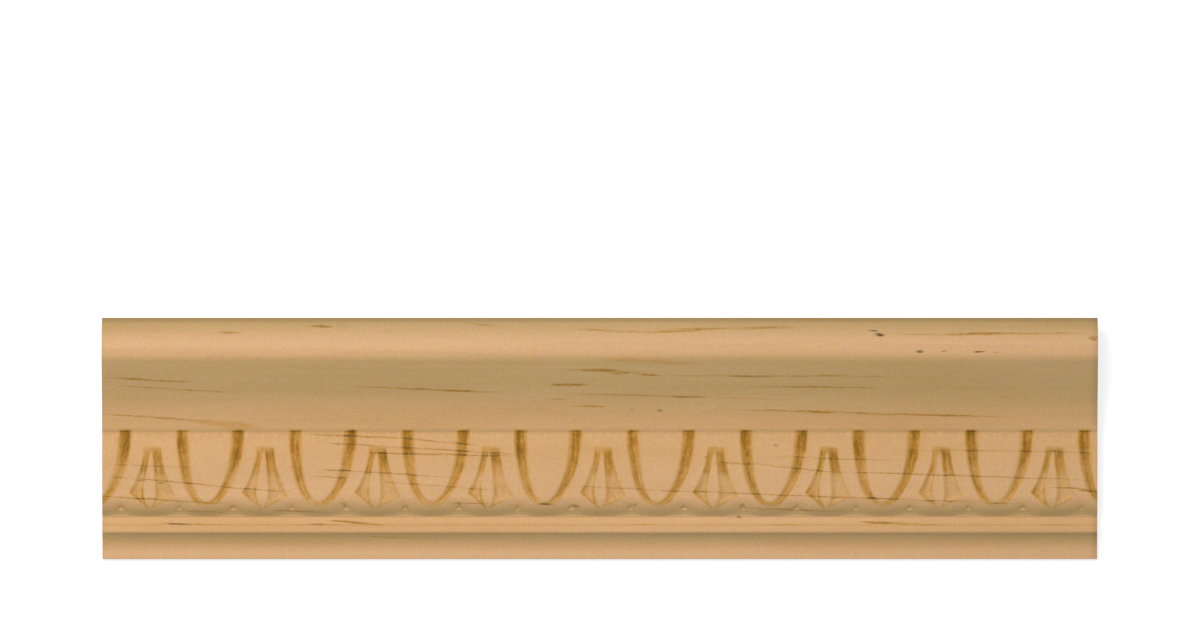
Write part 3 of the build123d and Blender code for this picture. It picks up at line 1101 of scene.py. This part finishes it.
def pine_material(colours, y_at):
    """Sanded pine: tones, growth rings, streaks and dashes, the die's marks and a fine speckle."""
    level = {name: y / MM for name, y in y_at.items()}
    material = bpy.data.materials.new("sanded_pine")
    material.use_nodes = True
    tree = material.node_tree
    tree.nodes.clear()
    spot = add_node(tree, "ShaderNodeTexCoord", output="Object").scaled((1 / MM, 1 / MM, 1 / MM))
    normal = add_node(tree, "ShaderNodeNewGeometry", output="True Normal")
    end_grain = normal.axis(0).maths("ABSOLUTE").ramp(0.80, 0.95)
    face_up = normal.axis(2).ramp(0.10, 0.35)
    fibre = following_fibres(spot)
    fibres = fibre.noise((0.16, 4.2, 4.2), 3.0, 0.6)
    late_wood = growth_rings(fibre)
    patchy = spot.noise((0.011, 0.14, 0.14), 3.0).ramp(0.42, 0.72)

    # Streaks and dashes lie on the face alone, and bundles of fibres break them up
    thin = fibres.ramp(0.30, 0.62)
    bundles = fibre.noise((0.08, 1.1, 1.1), 3.0, 0.6).ramp(0.34, 0.60)
    flecks = fibre.noise((0.55, 3.0, 3.0), 2.0, 0.6).ramp(0.34, 0.60)
    breaking = (bundles * 0.60 + 0.40) * (flecks * 0.60 + 0.55) * (thin * 0.40 + 0.75) * face_up

    base = sanded_tones(spot.axis(1), fibre, level, colours)
    base = ringed(base, spot, late_wood, patchy, end_grain, colours)
    base, streaks = streaked(base, fibre, thin, breaking, face_up, colours)
    base = bead_line(base, spot, level, face_up, colours)
    base = die_marks(base, spot, streaks, late_wood * patchy, colours)
    base = (marks(fibre, DASHES, 0.8) * breaking).clamped().mix(base, colours.dash)
    base = finished_face(base, spot, fibres, level, colours)

    rough = fibres * 0.10 + end_grain * 0.25 - look(tree, "brown") * 0.06 + colours.roughness - 0.05
    sockets = {
        "Base Color": base,
        "Roughness": rough,
        "Specular IOR Level": colours.gloss,
        "Normal": face_relief(spot, fibres, end_grain, level),
    }
    wood = add_node(tree, "ShaderNodeBsdfPrincipled", sockets=sockets)
    add_node(tree, "ShaderNodeOutputMaterial", wood)
    return material


def seen_directly(tree):
    """1 for rays that show the background to the camera, straight or by reflection, and else 0."""
    camera, glossy, through = (
        add_node(tree, "ShaderNodeLightPath", output=name)
        for name in ("Is Camera Ray", "Is Glossy Ray", "Is Transmission Ray")
    )
    return camera.maths("MAXIMUM", glossy).maths("MAXIMUM", through)


# Operators

class MOULDING_OT_wood(bpy.types.Operator):
    """Build the moulding as one piece of sanded and embossed pine"""

    bl_idname = "moulding.wood"
    bl_label = "Build Moulding"

    def execute(self, context):
        scene = context.scene
        mesh = build_moulding(scene.moulding_section, scene.moulding_pattern)
        low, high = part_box(NODE)
        y_at, _ = section_levels(scene.moulding_section, low, high)
        mesh.materials.append(pine_material(scene.moulding_colours, y_at))
        piece = bpy.data.objects.new("pressed_pine_moulding", mesh)
        scene.collection.objects.link(piece)
        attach(piece, "root")
        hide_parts(NODE)
        return {"FINISHED"}


class MOULDING_OT_stage(bpy.types.Operator):
    """Set the floor, the light and the camera"""

    bl_idname = "moulding.stage"
    bl_label = "Set Stage"

    def execute(self, context):
        setup = context.scene.moulding_stage
        self.lay_floor(context, setup)
        self.light(context, setup)
        self.set_camera(context, setup)
        return {"FINISHED"}

    def lay_floor(self, context, setup):
        """A plain pale floor that keeps the object's shadow."""
        half = setup.floor_width / 2
        corners = [(-half, -half, 0.0), (half, -half, 0.0), (half, half, 0.0), (-half, half, 0.0)]
        mesh = bpy.data.meshes.new("floor")
        mesh.from_pydata(corners, [], [(0, 1, 2, 3)])
        floor = bpy.data.objects.new("floor", mesh)
        context.scene.collection.objects.link(floor)
        material = bpy.data.materials.new("floor_white")
        material.use_nodes = True
        tree = material.node_tree
        tree.nodes.clear()
        matt = add_node(tree, "ShaderNodeBsdfDiffuse", (*setup.floor_colour, 1.0))
        glow = add_node(tree, "ShaderNodeEmission", WHITE, seen_directly(tree) * setup.floor_glow)
        both = add_node(tree, "ShaderNodeAddShader", matt, glow)
        add_node(tree, "ShaderNodeOutputMaterial", both)
        mesh.materials.append(material)

    def light(self, context, setup):
        """One large soft key lamp from above the top edge, and an even fill from all round."""
        lamp = bpy.data.lights.new("key", "AREA")
        lamp.energy = setup.key_power
        lamp.size = setup.key_size
        lamp.color = setup.key_colour
        key = bpy.data.objects.new("key", lamp)
        towards = Vector((-math.tan(setup.key_swing), math.tan(setup.key_tilt), 1.0)).normalized()
        key.location = towards * setup.key_distance
        key.rotation_euler = towards.to_track_quat("Z", "Y").to_euler()
        context.scene.collection.objects.link(key)

        world = bpy.data.worlds.new("fill")
        context.scene.world = world
        world.use_nodes = True
        tree = world.node_tree
        tree.nodes.clear()
        white = add_node(tree, "ShaderNodeBackground", WHITE, 1.0)
        fill = add_node(tree, "ShaderNodeBackground", (*setup.fill_colour, 1.0), setup.fill_strength)
        mixed = add_node(tree, "ShaderNodeMixShader", seen_directly(tree), fill, white)
        add_node(tree, "ShaderNodeOutputWorld", mixed)
        context.scene.view_settings.view_transform = "Standard"

    def set_camera(self, context, setup):
        """A long lens that looks straight down, with the piece where the photograph has it."""
        low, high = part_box(NODE)
        metres_per_px = (high.x - low.x) / (setup.right_end_px - setup.left_end_px)
        middle_px = (setup.right_end_px + setup.left_end_px) / 2
        data = bpy.data.cameras.new("camera")
        data.sensor_width = 36.0
        distance = setup.camera_height - (low.z + high.z) / 2
        data.lens = data.sensor_width * distance / (setup.photo_width * metres_per_px)
        data.clip_end = 1.5 * setup.camera_height
        camera = bpy.data.objects.new("camera", data)
        camera.location = (
            (low.x + high.x) / 2 + (setup.photo_width / 2 - middle_px) * metres_per_px,
            (low.y + high.y) / 2 + setup.middle_below_px * metres_per_px,
            setup.camera_height,
        )
        context.scene.collection.objects.link(camera)
        context.scene.camera = camera


class MOULDING_PT_panel(bpy.types.Panel):
    """Sizes, colours and stage of the moulding"""

    bl_idname = "MOULDING_PT_panel"
    bl_label = "Embossed Moulding"
    bl_space_type = "VIEW_3D"
    bl_region_type = "UI"
    bl_category = "Moulding"

    def draw(self, context):
        for heading, name in SETTINGS.items():
            box = self.layout.box()
            box.label(text=heading)
            group = getattr(context.scene, name)
            for key in group.__annotations__:
                box.prop(group, key)
        self.layout.operator("moulding.wood")
        self.layout.operator("moulding.stage")


SETTINGS = {
    "Section": "moulding_section",
    "Pattern": "moulding_pattern",
    "Colours": "moulding_colours",
    "Stage": "moulding_stage",
}
GROUPS = (SectionSizes, PatternSizes, PineColours, StageSetup)
CLASSES = (*GROUPS, MOULDING_OT_wood, MOULDING_OT_stage, MOULDING_PT_panel)


def register():
    for cls in CLASSES:
        bpy.utils.register_class(cls)
    for name, group in zip(SETTINGS.values(), GROUPS):
        setattr(bpy.types.Scene, name, PointerProperty(type=group))


def unregister():
    for name in SETTINGS.values():
        delattr(bpy.types.Scene, name)
    for cls in reversed(CLASSES):
        bpy.utils.unregister_class(cls)


def main():
    register()
    bpy.ops.moulding.wood()
    bpy.ops.moulding.stage()


if __name__ == "__main__":
    main()
